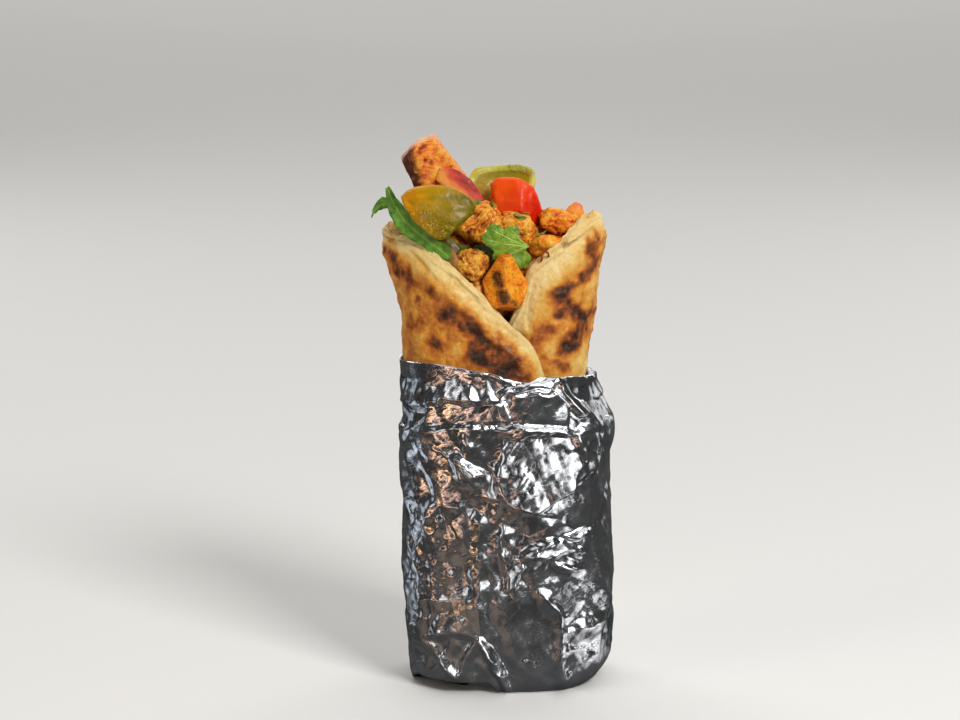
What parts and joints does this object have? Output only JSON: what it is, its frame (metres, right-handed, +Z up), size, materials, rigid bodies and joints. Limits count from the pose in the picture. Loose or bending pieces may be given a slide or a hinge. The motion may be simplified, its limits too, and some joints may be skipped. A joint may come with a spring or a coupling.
{
  "type": "kati roll",
  "caption": "Flatbread roll wrapped in crumpled foil and standing upright, its open top heaped with spiced chunks, peppers, onion and herb leaves.",
  "frame": {"origin": "centre of the foil's flat folded base, which the roll stands on", "axes": "+Z up along the roll to its heaped open end; -Y is the front, where the bread's flaps cross in a V; +X is to the right as seen from the front"},
  "size_m": [0.0788, 0.0527, 0.1786],
  "materials": {
    "foil": "crumpled kitchen foil, bright",
    "bread": "griddled flatbread with toasted spots",
    "cheese": "spiced and charred, slightly oily",
    "chicken": "spiced, fibrous and charred",
    "herb": "fresh leaf, satin",
    "green_pepper": "cooked, wet and glossy",
    "red_pepper": "cooked, wet and glossy",
    "onion": "cooked, wet",
    "masala": "dark spiced mince, oily"
  },
  "bodies": {
    "root": {"foil": "foil", "bread": "bread", "filling_core": "masala", "cheese_front": "cheese", "chicken_low": "chicken", "chicken_under": "chicken", "herb_leaf_front": "herb", "herb_leaf_left": "herb", "pepper_green_front": "green_pepper", "pepper_strip": "green_pepper", "onion_low": "onion", "herb_leaf_dark": "herb", "chicken_right_low": "chicken", "chicken_right_top": "chicken", "chicken_middle": "chicken", "chicken_inner": "chicken", "onion_notch": "onion", "chicken_shred": "chicken", "onion_right": "onion", "pepper_red": "red_pepper", "onion_left": "onion", "pepper_green_back": "green_pepper", "chicken_top": "chicken"}
  },
  "joints": []
}
